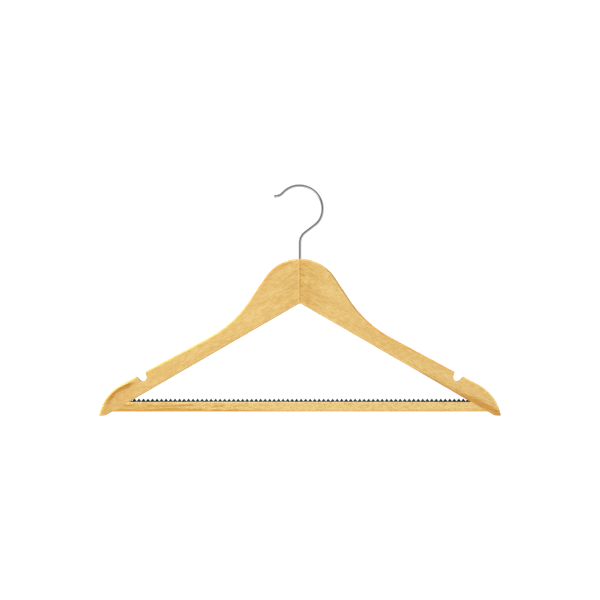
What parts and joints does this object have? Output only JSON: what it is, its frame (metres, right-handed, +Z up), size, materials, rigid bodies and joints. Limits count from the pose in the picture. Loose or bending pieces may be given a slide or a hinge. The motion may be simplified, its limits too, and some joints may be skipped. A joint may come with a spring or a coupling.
{
  "type": "clothes hanger",
  "caption": "Flat wooden clothes hanger with a swivelling wire hook, notched shoulders and a trouser bar that carries a toothed grip strip.",
  "frame": {"origin": "on the swivel axis, at the highest point of the inside of the hook's arch, where the rod carries the hook", "axes": "+X along the shoulders to the right as seen from the front, +Y from the front face to the back face, +Z up along the hook's shank"},
  "size_m": [0.445, 0.012, 0.2568],
  "materials": {
    "left_arm_wood": "clear satin lacquer",
    "right_arm_wood": "clear satin lacquer",
    "bar_wood": "clear satin lacquer",
    "dowel_wood": "bare wood",
    "strip_rubber": "dark, soft sheen",
    "hook_chrome": "polished chrome plate",
    "sleeve_steel": "plain plated steel"
  },
  "bodies": {
    "hook": {"hook": "hook_chrome"},
    "hanger": {"left_arm": "left_arm_wood", "right_arm": "right_arm_wood", "trouser_bar": "bar_wood", "grip_strip": "strip_rubber", "left_bar_dowel": "dowel_wood", "right_bar_dowel": "dowel_wood", "hook_sleeve": "sleeve_steel"}
  },
  "joints": [
    {"name": "hook_swivel", "type": "hinge", "parent": "hook", "child": "hanger", "pos_m": [0, 0, -0.07946], "axis": [0, 0, 1], "continuous": true}
  ]
}
